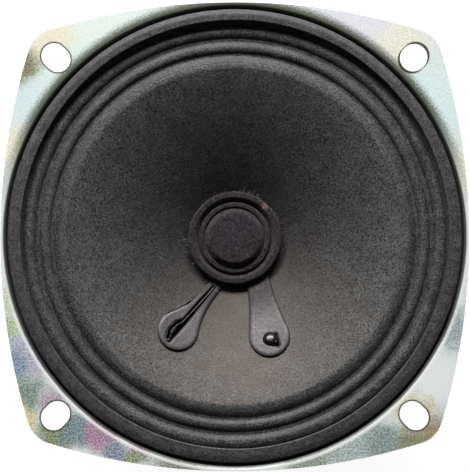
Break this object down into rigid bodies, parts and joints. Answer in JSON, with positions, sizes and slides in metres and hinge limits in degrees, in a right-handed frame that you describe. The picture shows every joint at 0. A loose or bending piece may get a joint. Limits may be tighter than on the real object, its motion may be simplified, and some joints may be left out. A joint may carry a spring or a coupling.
{
  "type": "loudspeaker driver",
  "caption": "Small full range loudspeaker driver with a square pressed steel basket, paper cone with a corrugated edge, felt dust cap and ferrite magnet.",
  "frame": {"origin": "middle of the flange's front face, on the axis of the cone", "axes": "+Z along the cone's axis, out of the front; -Y is the side where the leads and the terminals are"},
  "size_m": [0.102, 0.102, 0.0368],
  "materials": {
    "zinc_steel": "satin",
    "plain_steel": "satin",
    "ferrite": "matte",
    "cone_paper": "matte",
    "edge_paper": "matte",
    "gasket_fibre": "matte",
    "felt": "matte",
    "former_paper": "matte",
    "spider_cloth": "matte",
    "copper_wire": "satin",
    "tinsel": "satin",
    "dark_glue": "gloss",
    "amber_glue": "gloss",
    "solder": "satin",
    "tinned_brass": "satin",
    "phenolic": "satin"
  },
  "bodies": {
    "frame": {"basket": "zinc_steel", "gasket_ring": "gasket_fibre", "surround": "edge_paper", "spider": "spider_cloth", "top_plate": "plain_steel", "magnet": "ferrite", "back_plate": "plain_steel", "pole_piece": "plain_steel", "plate_rivets": "plain_steel", "terminal_board": "phenolic", "board_rivet": "tinned_brass", "terminal_lug_left": "tinned_brass", "terminal_lug_right": "tinned_brass", "lug_eyelets": "tinned_brass", "lug_solder": "solder", "tinsel_lead_left": "tinsel", "tinsel_lead_right": "tinsel"},
    "cone_assembly": {"cone": "cone_paper", "neck_collar": "felt", "dust_cap": "felt", "voice_coil_former": "former_paper", "voice_coil_winding": "copper_wire", "coil_wire_left": "copper_wire", "coil_wire_right": "copper_wire", "glue_drop_left": "dark_glue", "glue_drop_right": "dark_glue", "cone_solder_beads": "solder", "cone_neck_glue": "amber_glue", "spider_neck_glue": "amber_glue"}
  },
  "joints": [
    {"name": "cone_travel", "type": "slide", "parent": "frame", "child": "cone_assembly", "axis": [0, 0, 1], "range_m": [-0.0015, 0.0015], "stiffness_N_per_m": 1700, "deforming": ["surround", "spider", "tinsel_lead_left", "tinsel_lead_right"]}
  ]
}
